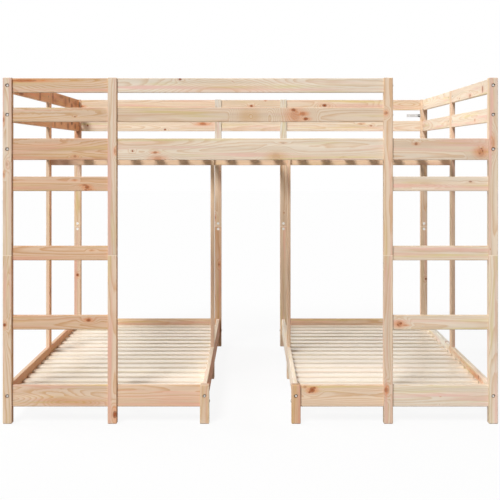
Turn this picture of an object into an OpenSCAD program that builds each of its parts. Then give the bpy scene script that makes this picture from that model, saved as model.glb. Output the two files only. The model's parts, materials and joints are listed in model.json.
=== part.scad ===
// Triple bunk bed in solid pine: two single berths side by side near the floor, under one square berth.
// The front faces -Y, +X is to the right, and the origin is on the floor under the middle of the frame.

/* [Frame] */
// Width outside the corner posts
frame_w = 2055; // [1950:1:2250]
// Depth outside the front and back posts
frame_d = 2055; // [1950:1:2250]
// Height of the lower part of each long post, up to its seam
lower_post_h = 700; // [660:1:760]
// Height of the upper part of each long post, above its seam
upper_post_h = 737; // [700:1:800]
// Side of the square posts
post_w = 38; // [36:0.5:44]
// Width of one lower berth outside its posts
berth_w = 856.5; // [800:0.5:920]
// Clear length of a ladder rung between its two posts
rung_len = 397.5; // [340:0.5:430]

/* [Boards] */
// Thickness of the rails, rungs and mid uprights
board_t = 18; // [16:0.5:20]
// Height of a narrow board: guard rails and rungs
narrow_h = 60; // [52:1:70]
// Height of a wide board: main rails and lower rails
wide_h = 90; // [80:1:100]
// Width of the flat uprights at half depth
upright_w = 60; // [50:1:80]
// Height of the beam under the middle of the upper slats
beam_h = 72; // [60:1:90]
// Size of the eased long edges
edge_ease = 2; // [1:0.25:3]
// Size of the eased edges at the foot and the top of the posts and uprights
end_ease = 2.5; // [1:0.25:4]
// Size of the eased edges where the two parts of a long post meet
seam_ease = 0.5; // [0.25:0.25:1]

/* [Levels] */
// Underside of the lower rails above the floor
lower_rail_z = 70; // [50:1:110]
// Distance from the post tops down to the top guard rail
top_drop = 2; // [1:0.5:10]
// Gap between the two guard rails
guard_gap = 62; // [50:1:75]
// Gap between the lower guard rail and the main rail
main_gap = 68; // [50:1:75]
// Gap between the main rail and the top rung
rung_gap = 69; // [50:1:100]
// Distance from one rung to the next
rung_pitch = 288; // [250:1:300]
// Rungs in each ladder
rung_count = 3; // [1:1:3]

/* [Slats] */
// Slats in each berth
slat_count = 17; // [12:1:20]
// Width of a lower slat
slat_w = 66; // [50:1:80]
// Width of an upper slat
upper_slat_w = 46; // [40:1:80]
// Thickness of a slat
slat_t = 15; // [12:0.5:20]
// Distance from the top of a rail down to the slat tops
slat_drop = 34; // [25:1:45]
// Gap at the ends of a slat
slat_end_gap = 1.5; // [0.5:0.25:4]
// Gap between the outermost lower slat and the posts
slat_post_gap = 2.5; // [1:0.5:10]
// Gap between the outermost upper slat and the posts
upper_slat_post_gap = 17; // [1:0.5:24]
// Height of the battens that carry the slat ends
batten_h = 25; // [20:1:32]
// Thickness of the lower battens
batten_t = 18; // [15:1:24]
// Thickness of the upper battens
upper_batten_t = 30; // [26:1:36]
// Gap at the ends of a batten
batten_gap = 3; // [1:0.5:8]

/* [Bolts] */
// Diameter of the bolts and studs
bolt_d = 6; // [5:0.5:7]
// Diameter of a bolt head
head_d = 14; // [12:0.5:16]
// Thickness of a bolt head
head_h = 3; // [2:0.5:4]
// Thickness of a bolt head's rim
head_rim = 0.8; // [0.5:0.1:1.5]
// Diameter of the flat top of a bolt head
head_top_d = 8; // [7:0.5:10]
// Depth of a sunk bolt head below the face of its post
head_sink = 3; // [1:0.5:6]
// Width across the flats of the socket in a head
socket_w = 4; // [3:0.5:5]
// Depth of the socket in a head
socket_depth = 2; // [1:0.5:2]
// Diameter of a barrel nut
barrel_d = 10; // [9:0.5:12]
// Length of a barrel nut
barrel_len = 14; // [12:0.5:14]
// Distance from the end of a board to its barrel nut
barrel_inset = 35; // [30:1:45]
// Depth of a barrel nut below the face of its board
barrel_recess = 0.5; // [0.25:0.25:1]
// Length of thread beyond a barrel nut's axis
thread_tail = 8; // [6:1:12]
// Diameter of the barrel nuts at a post seam
seam_nut_d = 15; // [12:0.5:16]
// Distance from a post seam to each of its barrel nuts
seam_nut_reach = 16; // [14:1:22]
// Distance from the middle of a lower rail down to the bolt in a berth's inner post
leg_bolt_drop = 23; // [20:1:26]

/* [Screws and dowels] */
// Diameter of the frame screws
screw_d = 5; // [4:0.5:5]
// Diameter of a frame screw's head
screw_head_d = 9; // [7:0.5:10]
// Length of a frame screw in the end of a board
screw_grip = 32; // [25:1:45]
// Distance of a frame screw from the middle of a narrow board
narrow_screw_reach = 15; // [13:0.5:18]
// Distance of a frame screw from the middle of a wide board
wide_screw_reach = 30; // [24:0.5:34]
// Diameter of a dowel
dowel_d = 8; // [6:0.5:8]
// Length of a dowel
dowel_len = 34; // [30:1:38]
// Distance of a dowel from the middle of a narrow board
narrow_dowel_reach = 18; // [16:0.5:20]
// Distance of a dowel from the middle of a wide board
wide_dowel_reach = 30; // [26:0.5:34]
// Distance of a dowel from the middle of the beam
beam_dowel_reach = 20; // [18:0.5:22]
// Diameter of the slat and batten screws
small_screw_d = 3.5; // [3:0.25:4]
// Diameter of a slat or batten screw's head
small_head_d = 7; // [6:0.25:8]
// Length of a small screw beyond the first board it holds
small_screw_grip = 10; // [8:0.5:12]
// Height of a batten's screws above its underside
batten_screw_rise = 7; // [5:0.5:8]
// Screws in each batten
batten_screws = 4; // [2:1:6]

/* [Wall bracket] */
// Length of the flange that lies on the wall
bracket_len = 77; // [60:1:100]
// Height of the bracket
bracket_h = 17; // [14:0.5:24]
// Thickness of its steel
bracket_t = 2.5; // [2:0.25:3]
// Length of the flange that lies on the post
bracket_leg = 26; // [22:1:32]
// Diameter of the two wall holes
bracket_hole_d = 5.5; // [4:0.25:7]
// Distance between the two wall holes
bracket_hole_pitch = 40; // [30:1:44]
// Distance from the bracket's free end to the nearer hole
bracket_hole_inset = 14; // [10:0.5:16]
// Diameter of the bracket screw's head
bracket_head_d = 14; // [12:0.5:16]
// Thickness of the bracket screw's head
bracket_head_h = 8; // [5:0.5:9]
// Length of the bracket screw in the post
bracket_screw_grip = 22; // [18:1:28]

/* [Hidden] */

// Radial room round a bolt or stud in wood
bolt_clear = 0.25;
// Radial room round a bolt or stud in a barrel nut
thread_clear = 0.05;
// Radial room round a sunk bolt head
head_clear = 1.25;
// Room round a barrel nut
barrel_clear = 0.2;
// Radial room round a screw
screw_clear = 0.05;
// Room round a dowel
dowel_clear = 0.1;
// Gap under the bracket screw's head
seat_gap = 0.1;
// Wood left between a dowel and what lies past its end
dowel_wall = 2.5;
// How far a cut runs past the face it opens
overrun = 1;
// Width and depth of the slot in a barrel nut's face
slot_w = 1.4;
slot_depth = 1.2;
// Facets of round fasteners and holes
$fn = 32;

PINE = [0.87, 0.76, 0.64];
BATTEN_PINE = [0.82, 0.70, 0.56];
BEECH = [0.80, 0.66, 0.50];
STEEL = [0.62, 0.62, 0.64];
ZINC = [0.82, 0.83, 0.84];

SIDES = [-1, 1];

half_w = frame_w / 2;
half_d = frame_d / 2;
// Middles of the corner posts, and of the rails between them
post_x = half_w - post_w / 2;
post_y = half_d - post_w / 2;
// Middles of the ladder stiles, and of the inner posts of the two lower berths
stile_x = post_x - post_w - rung_len;
inner_x = half_w - berth_w + post_w / 2;
// Distance from a post's face to the face of the boards in line with it
inset = (post_w - board_t) / 2;

post_h = lower_post_h + upper_post_h;
top_z = post_h - top_drop - narrow_h;
second_z = top_z - guard_gap - narrow_h;
main_z = second_z - main_gap - wide_h;
// Each level: underside, height, reach of its screws and reach of its dowels
LOWER = [lower_rail_z, wide_h, wide_screw_reach, wide_dowel_reach];
MAIN = [main_z, wide_h, wide_screw_reach, wide_dowel_reach];
SECOND = [second_z, narrow_h, narrow_screw_reach, narrow_dowel_reach];
TOP = [top_z, narrow_h, narrow_screw_reach, narrow_dowel_reach];
LEVELS = [LOWER, MAIN, SECOND, TOP];
RUNGS = [
    for (i = [0 : rung_count - 1])
        [main_z - rung_gap - narrow_h - i * rung_pitch, narrow_h, narrow_screw_reach, narrow_dowel_reach]
];

lower_slat_z = lower_rail_z + wide_h - slat_drop - slat_t;
upper_slat_z = main_z + wide_h - slat_drop - slat_t;
beam_z = upper_slat_z - beam_h;
beam_mid = beam_z + beam_h / 2;

// Inner faces of the boards in line with the posts
rail_face_x = post_x - board_t / 2;
rail_face_y = post_y - board_t / 2;
berth_face_x = inner_x + board_t / 2;
// Middles of the first upper slat and of the first lower slat
first_slat_x = half_w - post_w - upper_slat_post_gap - upper_slat_w / 2;
first_slat_y = half_d - post_w - slat_post_gap - slat_w / 2;
slat_end_y = half_d - post_w - slat_end_gap;

head_depth = head_h + head_sink;
barrel_cross = board_t / 2 - barrel_recess;
// Depth of a dowel in a post, clear of the screws that cross the post's middle
dowel_in_post = post_w / 2 - screw_d / 2 - dowel_wall;

function mid(level) = level[0] + level[1] / 2;
function both(reach) = [-reach, reach];
function dowel_depth(wood) = min(dowel_in_post, wood - dowel_wall);
function slat_place(first, i) = -first + i * 2 * first / (slat_count - 1);

// Bolted ends: head seat, way in, wood under the head, sink, way its nut faces, dowel heights
SIDE_BOLTS = [
    for (sx = SIDES, sy = SIDES, level = LEVELS)
        [[sx * post_x, sy * (half_d - head_depth), mid(level)], [0, -sy, 0], post_w - head_depth,
         head_depth, [-sx, 0, 0], both(level[3])]
];
BERTH_BOLTS = [
    for (sx = SIDES, sy = SIDES)
        [[sx * inner_x, sy * (half_d - head_depth), mid(LOWER)], [0, -sy, 0], post_w - head_depth,
         head_depth, [sx, 0, 0], both(LOWER[3])]
];
ENTRY_BOLTS = [
    for (level = [SECOND, TOP])
        [[stile_x + post_w / 2, -post_y, mid(level)], [-1, 0, 0], post_w, 0, [0, 1, 0], both(level[3])]
];
LEG_BOLTS = [
    for (sx = SIDES, sy = SIDES)
        [[sx * (inner_x - post_w / 2), sy * post_y, mid(LOWER) - leg_bolt_drop], [sx, 0, 0], post_w,
         0, [0, 1, 0], [2 * leg_bolt_drop]]
];
BEAM_BOLTS = [
    for (sx = SIDES)
        [[sx * (post_x + board_t / 2), 0, beam_mid], [-sx, 0, 0], board_t,
         0, [0, 1, 0], both(beam_dowel_reach)]
];
BOLTS = concat(SIDE_BOLTS, BERTH_BOLTS, ENTRY_BOLTS, LEG_BOLTS, BEAM_BOLTS);

// Studs through a post: middle, way along, half the wood it crosses, way its nuts face, dowel heights
STUDS = concat(
    [for (level = LEVELS)
        [[-stile_x, -post_y, mid(level)], [1, 0, 0], post_w / 2, [0, 1, 0], both(level[3])]],
    [for (level = [LOWER, MAIN])
        [[stile_x, -post_y, mid(level)], [1, 0, 0], post_w / 2, [0, 1, 0], both(level[3])]],
    [for (sx = SIDES, level = [MAIN, SECOND, TOP])
        [[sx * inner_x, post_y, mid(level)], [1, 0, 0], post_w / 2, [0, 1, 0], both(level[3])]],
    [for (sx = SIDES, level = LEVELS)
        [[sx * post_x, 0, mid(level)], [0, 1, 0], upright_w / 2, [-sx, 0, 0], both(level[3])]],
    [for (sx = SIDES)
        [[sx * inner_x, 0, mid(LOWER)], [0, 1, 0], upright_w / 2, [sx, 0, 0], both(LOWER[3])]],
    [for (sx = SIDES)
        [[sx * inner_x, 0, beam_mid], [1, 0, 0], board_t / 2, [0, 1, 0], both(beam_dowel_reach)]]
);

// Posts in two parts, and the side of each that its seam nuts open to
LONG_POSTS = concat(
    [for (sx = SIDES, sy = SIDES) [sx * post_x, sy * post_y, sy]],
    [for (sx = SIDES) [sx * stile_x, -post_y, -1]],
    [for (sx = SIDES) [sx * inner_x, post_y, 1]]
);

// Every stud as middle, way along, reach of its nuts, way its nuts face, diameter of its nuts
ALL_STUDS = concat(
    [for (s = STUDS) [s[0], s[1], s[2] + barrel_inset, s[3], barrel_d]],
    [for (p = LONG_POSTS)
        [[p[0], p[1] - p[2] * inset, lower_post_h], [0, 0, 1], seam_nut_reach, [0, -p[2], 0], seam_nut_d]]
);

// Every barrel nut as its place on the bolt, the way it faces, the bolt's way and its diameter
NUTS = concat(
    [for (b = BOLTS) [b[0] + b[1] * (b[2] + barrel_inset), b[4], b[1], barrel_d]],
    [for (s = ALL_STUDS, e = SIDES) [s[0] + s[1] * e * s[2], s[3], s[1], s[4]]]
);

// Every dowel as a point on the joint face, the way along and its depth behind that face
DOWELS = concat(
    [for (b = BOLTS, dz = b[5]) [b[0] + b[1] * b[2] + [0, 0, dz], b[1], dowel_depth(b[2])]],
    [for (s = STUDS, e = SIDES, dz = s[4])
        [s[0] + s[1] * e * s[2] + [0, 0, dz], s[1] * e, dowel_depth(s[2])]],
    [for (p = LONG_POSTS) [[p[0], p[1] + p[2] * inset, lower_post_h], [0, 0, 1], dowel_len / 2]]
);

// Every frame screw as its head's middle and its way in
SCREWS = concat(
    [for (level = concat(LEVELS, RUNGS), dz = both(level[2]))
        [[-half_w, -post_y, mid(level) + dz], [1, 0, 0]]],
    [for (level = concat([LOWER, MAIN], RUNGS), dz = both(level[2]))
        [[half_w, -post_y, mid(level) + dz], [-1, 0, 0]]],
    [for (sx = SIDES, level = LEVELS, dz = both(level[2]))
        [[sx * half_w, post_y, mid(level) + dz], [-sx, 0, 0]]],
    [for (sx = SIDES, level = RUNGS, dz = both(level[2]))
        [[sx * (stile_x - post_w / 2), -post_y, mid(level) + dz], [sx, 0, 0]]]
);
screw_len = post_w + screw_grip;
screw_head_h = (screw_head_d - screw_d) / 2;

// Every batten as its two corners and the way to the rail that carries it
LOWER_BATTENS = [
    for (sx = SIDES, berth_side = SIDES)
        let (
            x = sx * (berth_side > 0 ? rail_face_x - batten_t / 2 : berth_face_x + batten_t / 2),
            half = [batten_t / 2, half_d - post_w - batten_gap, batten_h / 2],
            middle = [x, 0, lower_slat_z - batten_h / 2]
        )
        [middle - half, middle + half, [sx * berth_side, 0, 0]]
];
function upper_batten(x0, x1, sy) = let (
        middle = [(x0 + x1) / 2, sy * (rail_face_y - upper_batten_t / 2), upper_slat_z - batten_h / 2],
        half = [(x1 - x0) / 2 - batten_gap, upper_batten_t / 2, batten_h / 2]
    )
    [middle - half, middle + half, [0, sy, 0]];
stile_in = stile_x - post_w / 2;
stile_out = stile_x + post_w / 2;
post_in = post_x - post_w / 2;
inner_in = inner_x - post_w / 2;
inner_out = inner_x + post_w / 2;
UPPER_BATTENS = [
    upper_batten(-post_in, -stile_out, -1), upper_batten(-stile_in, stile_in, -1),
    upper_batten(stile_out, post_in, -1), upper_batten(-post_in, -inner_out, 1),
    upper_batten(-inner_in, inner_in, 1), upper_batten(inner_out, post_in, 1)
];

// Middle of the stretch of a slat that a batten carries
lower_bearing = (batten_t + slat_end_gap) / 2;
upper_bearing_y = (rail_face_y - upper_batten_t + slat_end_y) / 2;
// Every small screw as its head's middle, its way in and its length
SLAT_SCREWS = concat(
    [for (i = [0 : slat_count - 1], sx = SIDES,
          x = [rail_face_x - lower_bearing, berth_face_x + lower_bearing])
        [[sx * x, slat_place(first_slat_y, i), lower_slat_z + slat_t], [0, 0, -1],
         slat_t + small_screw_grip]],
    [for (i = [0 : slat_count - 1], sy = SIDES)
        [[slat_place(first_slat_x, i), sy * upper_bearing_y, upper_slat_z + slat_t], [0, 0, -1],
         slat_t + small_screw_grip]]
);
BATTEN_SCREWS = [
    for (b = concat(LOWER_BATTENS, UPPER_BATTENS), i = [0 : batten_screws - 1])
        let (
            size = b[1] - b[0],
            middle = (b[0] + b[1]) / 2,
            run = b[2][0] == 0 ? [size[0], 0, 0] : [0, size[1], 0],
            thick = b[2][0] == 0 ? size[1] : size[0],
            along_share = (i + 0.5) / batten_screws - 0.5,
            head = middle - b[2] * thick / 2 + run * along_share
        )
        [[head[0], head[1], b[0][2] + batten_screw_rise], b[2], thick + small_screw_grip]
];
SMALL_SCREWS = concat(SLAT_SCREWS, BATTEN_SCREWS);
small_head_h = (small_head_d - small_screw_d) / 2;

// Wall bracket: middle height, and its screw in the back right post
bracket_mid = second_z + narrow_h + guard_gap / 2;
bracket_screw_y = half_d - bracket_t - (bracket_leg - bracket_t) / 2;

// Every round cut in wood: start, way in, length, radius at the start, radius at the end
bolt_hole_r = bolt_d / 2 + bolt_clear;
screw_hole_r = screw_d / 2 + screw_clear;
small_hole_r = small_screw_d / 2 + screw_clear;
dowel_hole_r = dowel_d / 2 + dowel_clear;
head_hole_r = head_d / 2 + head_clear;
CUTS = concat(
    [for (b = BOLTS) [b[0], b[1], b[2] + barrel_inset + thread_tail + bolt_clear, bolt_hole_r, bolt_hole_r]],
    [for (b = BOLTS) if (b[3] > 0) [b[0], -b[1], b[3] + overrun, head_hole_r, head_hole_r]],
    [for (s = ALL_STUDS)
        [s[0] - s[1] * (s[2] + thread_tail + bolt_clear), s[1], 2 * (s[2] + thread_tail + bolt_clear),
         bolt_hole_r, bolt_hole_r]],
    [for (n = NUTS)
        [n[0] + n[1] * (board_t / 2 + overrun), -n[1],
         overrun + barrel_recess + barrel_len + barrel_clear, n[3] / 2 + barrel_clear,
         n[3] / 2 + barrel_clear]],
    [for (d = DOWELS)
        [d[0] - d[1] * (d[2] + dowel_clear), d[1], dowel_len + 2 * dowel_clear, dowel_hole_r, dowel_hole_r]],
    [for (s = SCREWS) [s[0], s[1], screw_len + screw_clear, screw_hole_r, screw_hole_r]],
    [for (s = SCREWS) [s[0], s[1], screw_head_h, screw_head_d / 2 + screw_clear, screw_hole_r]],
    [for (s = SMALL_SCREWS) [s[0], s[1], s[2] + screw_clear, small_hole_r, small_hole_r]],
    [for (s = SMALL_SCREWS) [s[0], s[1], small_head_h, small_head_d / 2 + screw_clear, small_hole_r]],
    [[[post_in, bracket_screw_y, bracket_mid], [1, 0, 0], bracket_screw_grip + screw_clear,
      screw_hole_r, screw_hole_r]]
);

// Whether a cut's box reaches into the box between two corners
function cut_low(c) = [for (k = [0 : 2]) min(c[0][k], c[0][k] + c[1][k] * c[2]) - c[3] * (1 - abs(c[1][k]))];
function cut_high(c) = [for (k = [0 : 2]) max(c[0][k], c[0][k] + c[1][k] * c[2]) + c[3] * (1 - abs(c[1][k]))];
function meets(c, low, high) = let (a = cut_low(c), b = cut_high(c))
    a[0] < high[0] && b[0] > low[0] && a[1] < high[1] && b[1] > low[1] && a[2] < high[2] && b[2] > low[2];

// Children built along +Z, moved to a point and turned to point a given way
module along(point, way) {
    translate(point) rotate([0, acos(way[2]), atan2(way[1], way[0])]) children();
}

module eased_outline(w, h) {
    e = edge_ease;
    polygon([[e, 0], [w - e, 0], [w, e], [w, h - e], [w - e, h], [e, h], [0, h - e], [0, e]]);
}

// A bar from the origin, with its grain and its eased edges along its longest side
module eased_bar(size) {
    if (size[2] >= size[0] && size[2] >= size[1])
        linear_extrude(size[2]) eased_outline(size[0], size[1]);
    else if (size[0] >= size[1])
        rotate([90, 0, 90]) linear_extrude(size[0]) eased_outline(size[1], size[2]);
    else
        translate([0, size[1], 0]) rotate([90, 0, 0]) linear_extrude(size[1]) eased_outline(size[0], size[2]);
}

// Children that fill the box between two corners, cut for every fastener that meets it
module drilled(low, high) {
    difference() {
        children();
        for (c = CUTS)
            if (meets(c, low, high)) along(c[0], c[1]) cylinder(h = c[2], r1 = c[3], r2 = c[4]);
    }
}
module board(low, high) {
    drilled(low, high) translate(low) eased_bar(high - low);
}

// A post or upright seen from one side, with its foot and its top eased
function end_outline(w, z0, z1, foot, top) = [
    [-w / 2 + foot, z0], [w / 2 - foot, z0], [w / 2, z0 + foot], [w / 2, z1 - top],
    [w / 2 - top, z1], [-w / 2 + top, z1], [-w / 2, z1 - top], [-w / 2, z0 + foot]
];
// A post or upright round the line through x and y, eased along its length and at its ends
module standing(x, y, w, d, z0, z1, foot, top) {
    low = [x - w / 2, y - d / 2, z0];
    high = [x + w / 2, y + d / 2, z1];
    color(PINE) drilled(low, high) intersection() {
        translate(low) eased_bar(high - low);
        translate([x, high[1], 0]) rotate([90, 0, 0])
            linear_extrude(d) polygon(end_outline(w, z0, z1, foot, top));
        translate([low[0], y, 0]) rotate([90, 0, 90])
            linear_extrude(w) polygon(end_outline(d, z0, z1, foot, top));
    }
}
module post(x, y, z0, z1, foot, top) { standing(x, y, post_w, post_w, z0, z1, foot, top); }
module lower_post(x, y) { post(x, y, 0, lower_post_h, end_ease, seam_ease); }
module upper_post(x, y) { post(x, y, lower_post_h, post_h, seam_ease, end_ease); }
module upright(x, z1) { standing(x, 0, board_t, upright_w, 0, z1, end_ease, end_ease); }

// A board along X in the plane y, and one along Y in the plane x, at a level
module rail_x(x0, x1, y, level) {
    color(PINE) board([x0, y - board_t / 2, level[0]], [x1, y + board_t / 2, level[0] + level[1]]);
}
module rail_y(y0, y1, x, level) {
    color(PINE) board([x - board_t / 2, y0, level[0]], [x + board_t / 2, y1, level[0] + level[1]]);
}
// The two boards of one side, in front of and behind the mid upright
module side_rails(x, level) {
    rail_y(-half_d + post_w, -upright_w / 2, x, level);
    rail_y(upright_w / 2, half_d - post_w, x, level);
}
// The three boards of the back between its four posts
module back_rails(level) {
    rail_x(-post_in, -inner_out, post_y, level);
    rail_x(-inner_in, inner_in, post_y, level);
    rail_x(inner_out, post_in, post_y, level);
}

module front_left_post_lower() { lower_post(-post_x, -post_y); }
module front_left_post_upper() { upper_post(-post_x, -post_y); }
module front_right_post_lower() { lower_post(post_x, -post_y); }
module front_right_post_upper() { upper_post(post_x, -post_y); }
module back_left_post_lower() { lower_post(-post_x, post_y); }
module back_left_post_upper() { upper_post(-post_x, post_y); }
module back_right_post_lower() { lower_post(post_x, post_y); }
module back_right_post_upper() { upper_post(post_x, post_y); }
module left_stile_lower() { lower_post(-stile_x, -post_y); }
module left_stile_upper() { upper_post(-stile_x, -post_y); }
module right_stile_lower() { lower_post(stile_x, -post_y); }
module right_stile_upper() { upper_post(stile_x, -post_y); }
module back_inner_left_post_lower() { lower_post(-inner_x, post_y); }
module back_inner_left_post_upper() { upper_post(-inner_x, post_y); }
module back_inner_right_post_lower() { lower_post(inner_x, post_y); }
module back_inner_right_post_upper() { upper_post(inner_x, post_y); }

// Short legs end just above the lower rails
leg_top = lower_rail_z + wide_h + top_drop;
module left_front_leg() { post(-inner_x, -post_y, 0, leg_top, end_ease, end_ease); }
module right_front_leg() { post(inner_x, -post_y, 0, leg_top, end_ease, end_ease); }

module left_mid_upright() { upright(-post_x, top_z + narrow_h); }
module right_mid_upright() { upright(post_x, top_z + narrow_h); }
module left_inner_upright() { upright(-inner_x, upper_slat_z); }
module right_inner_upright() { upright(inner_x, upper_slat_z); }

module front_top_rail_left() { rail_x(-post_in, -stile_out, -post_y, TOP); }
module front_top_rail_centre() { rail_x(-stile_in, stile_in, -post_y, TOP); }
module front_second_rail_left() { rail_x(-post_in, -stile_out, -post_y, SECOND); }
module front_second_rail_centre() { rail_x(-stile_in, stile_in, -post_y, SECOND); }
module front_main_rail_left() { rail_x(-post_in, -stile_out, -post_y, MAIN); }
module front_main_rail_centre() { rail_x(-stile_in, stile_in, -post_y, MAIN); }
module front_main_rail_right() { rail_x(stile_out, post_in, -post_y, MAIN); }

module left_rungs() { for (level = RUNGS) rail_x(-post_in, -stile_out, -post_y, level); }
module right_rungs() { for (level = RUNGS) rail_x(stile_out, post_in, -post_y, level); }

module left_berth_front_rails() {
    rail_x(-post_in, -stile_out, -post_y, LOWER);
    rail_x(-stile_in, -inner_out, -post_y, LOWER);
}
module right_berth_front_rails() {
    rail_x(inner_out, stile_in, -post_y, LOWER);
    rail_x(stile_out, post_in, -post_y, LOWER);
}

module back_top_rails() { back_rails(TOP); }
module back_second_rails() { back_rails(SECOND); }
module back_main_rails() { back_rails(MAIN); }
module berth_back_rails() {
    rail_x(-post_in, -inner_out, post_y, LOWER);
    rail_x(inner_out, post_in, post_y, LOWER);
}

module left_top_rails() { side_rails(-post_x, TOP); }
module left_second_rails() { side_rails(-post_x, SECOND); }
module left_main_rails() { side_rails(-post_x, MAIN); }
module left_lower_rails() { side_rails(-post_x, LOWER); }
module right_top_rails() { side_rails(post_x, TOP); }
module right_second_rails() { side_rails(post_x, SECOND); }
module right_main_rails() { side_rails(post_x, MAIN); }
module right_lower_rails() { side_rails(post_x, LOWER); }
module left_inner_rails() { side_rails(-inner_x, LOWER); }
module right_inner_rails() { side_rails(inner_x, LOWER); }

module mid_beam() {
    level = [beam_z, beam_h];
    rail_x(-rail_face_x, -berth_face_x, 0, level);
    rail_x(board_t / 2 - inner_x, inner_x - board_t / 2, 0, level);
    rail_x(berth_face_x, rail_face_x, 0, level);
}

// Upper slats run front to back over the mid beam, and lower slats run across each berth
module upper_slats() {
    color(PINE) for (i = [0 : slat_count - 1]) {
        x = slat_place(first_slat_x, i);
        board([x - upper_slat_w / 2, -slat_end_y, upper_slat_z],
              [x + upper_slat_w / 2, slat_end_y, upper_slat_z + slat_t]);
    }
}
module berth_slats(x0, x1) {
    color(PINE) for (i = [0 : slat_count - 1]) {
        y = slat_place(first_slat_y, i);
        board([x0 + slat_end_gap, y - slat_w / 2, lower_slat_z],
              [x1 - slat_end_gap, y + slat_w / 2, lower_slat_z + slat_t]);
    }
}
module left_slats() { berth_slats(-rail_face_x, -berth_face_x); }
module right_slats() { berth_slats(berth_face_x, rail_face_x); }

module upper_battens() { color(BATTEN_PINE) for (b = UPPER_BATTENS) board(b[0], b[1]); }
module lower_battens() { color(BATTEN_PINE) for (b = LOWER_BATTENS) board(b[0], b[1]); }

// A bolt with its head's underside at the origin, pointing +Z
module bolt(shank) {
    difference() {
        union() {
            translate([0, 0, -head_rim]) cylinder(h = head_rim, d = head_d);
            translate([0, 0, -head_h]) cylinder(h = head_h - head_rim, d1 = head_top_d, d2 = head_d);
            cylinder(h = shank, d = bolt_d);
        }
        translate([0, 0, -head_h - overrun])
            cylinder(h = socket_depth + overrun, d = socket_w / cos(30), $fn = 6);
    }
}
module frame_bolts() {
    color(STEEL) for (b = BOLTS) along(b[0], b[1]) bolt(b[2] + barrel_inset + thread_tail);
}
module frame_studs() {
    color(STEEL) for (s = ALL_STUDS)
        along(s[0] - s[1] * (s[2] + thread_tail), s[1]) cylinder(h = 2 * (s[2] + thread_tail), d = bolt_d);
}
// A barrel nut centred on its bolt, open to its slotted face
module barrel_nut(point, face_way, bolt_way, d) {
    difference() {
        along(point + face_way * (barrel_cross - barrel_len), face_way)
            cylinder(h = barrel_len, d = d);
        along(point - bolt_way * d, bolt_way)
            cylinder(h = 2 * d, r = bolt_d / 2 + thread_clear);
        along(point + face_way * (barrel_cross - slot_depth), face_way)
            translate([-slot_w / 2, -d, 0]) cube([slot_w, 2 * d, slot_depth + overrun]);
    }
}
module barrel_nuts() { color(STEEL) for (n = NUTS) barrel_nut(n[0], n[1], n[2], n[3]); }

// A countersunk screw with its head's face at the origin, pointing +Z
module screw(len, shank_d, top_d) {
    top_h = (top_d - shank_d) / 2;
    difference() {
        union() {
            cylinder(h = top_h, d1 = top_d, d2 = shank_d);
            translate([0, 0, top_h]) cylinder(h = len - top_h, d = shank_d);
        }
        translate([0, 0, -overrun]) cylinder(h = top_h / 2 + overrun, d = shank_d / 2, $fn = 6);
    }
}
module frame_screws() {
    color(STEEL) for (s = SCREWS) along(s[0], s[1]) screw(screw_len, screw_d, screw_head_d);
}
module small_screws() {
    color(STEEL) for (s = SMALL_SCREWS) along(s[0], s[1]) screw(s[2], small_screw_d, small_head_d);
}
module dowels() {
    color(BEECH) for (d = DOWELS) along(d[0] - d[1] * d[2], d[1]) cylinder(h = dowel_len, d = dowel_d);
}

// An angle of steel strip on the back right post, level with the wall face of the frame, and its screw
module wall_bracket() {
    low = bracket_mid - bracket_h / 2;
    far_hole_x = post_in - bracket_len + bracket_hole_inset;
    color(ZINC) difference() {
        translate([0, 0, low]) linear_extrude(bracket_h) polygon([
            [post_in, half_d - bracket_leg], [post_in, half_d], [post_in - bracket_len, half_d],
            [post_in - bracket_len, half_d - bracket_t], [post_in - bracket_t, half_d - bracket_t],
            [post_in - bracket_t, half_d - bracket_leg]
        ]);
        for (x = [far_hole_x, far_hole_x + bracket_hole_pitch])
            along([x, half_d + overrun, bracket_mid], [0, -1, 0])
                cylinder(h = bracket_t + 2 * overrun, d = bracket_hole_d);
        along([post_in - bracket_t - overrun, bracket_screw_y, bracket_mid], [1, 0, 0])
            cylinder(h = bracket_t + 2 * overrun, r = screw_hole_r);
    }
    color(STEEL) along([post_in - bracket_t - seat_gap, bracket_screw_y, bracket_mid], [1, 0, 0]) {
        difference() {
            translate([0, 0, -bracket_head_h]) cylinder(h = bracket_head_h, d = bracket_head_d);
            translate([0, 0, -bracket_head_h - overrun])
                cylinder(h = socket_depth + overrun, d = socket_w / cos(30), $fn = 6);
        }
        cylinder(h = bracket_t + bracket_screw_grip, d = screw_d);
    }
}

front_left_post_lower();
front_left_post_upper();
front_right_post_lower();
front_right_post_upper();
back_left_post_lower();
back_left_post_upper();
back_right_post_lower();
back_right_post_upper();
left_stile_lower();
left_stile_upper();
right_stile_lower();
right_stile_upper();
back_inner_left_post_lower();
back_inner_left_post_upper();
back_inner_right_post_lower();
back_inner_right_post_upper();
left_front_leg();
right_front_leg();
left_mid_upright();
right_mid_upright();
left_inner_upright();
right_inner_upright();
front_top_rail_left();
front_top_rail_centre();
front_second_rail_left();
front_second_rail_centre();
front_main_rail_left();
front_main_rail_centre();
front_main_rail_right();
left_rungs();
right_rungs();
left_berth_front_rails();
right_berth_front_rails();
back_top_rails();
back_second_rails();
back_main_rails();
berth_back_rails();
left_top_rails();
left_second_rails();
left_main_rails();
left_lower_rails();
right_top_rails();
right_second_rails();
right_main_rails();
right_lower_rails();
left_inner_rails();
right_inner_rails();
mid_beam();
upper_slats();
left_slats();
right_slats();
upper_battens();
lower_battens();
frame_bolts();
frame_studs();
barrel_nuts();
frame_screws();
dowels();
small_screws();
wall_bracket();
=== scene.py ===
import json
import math
from collections import namedtuple

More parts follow.
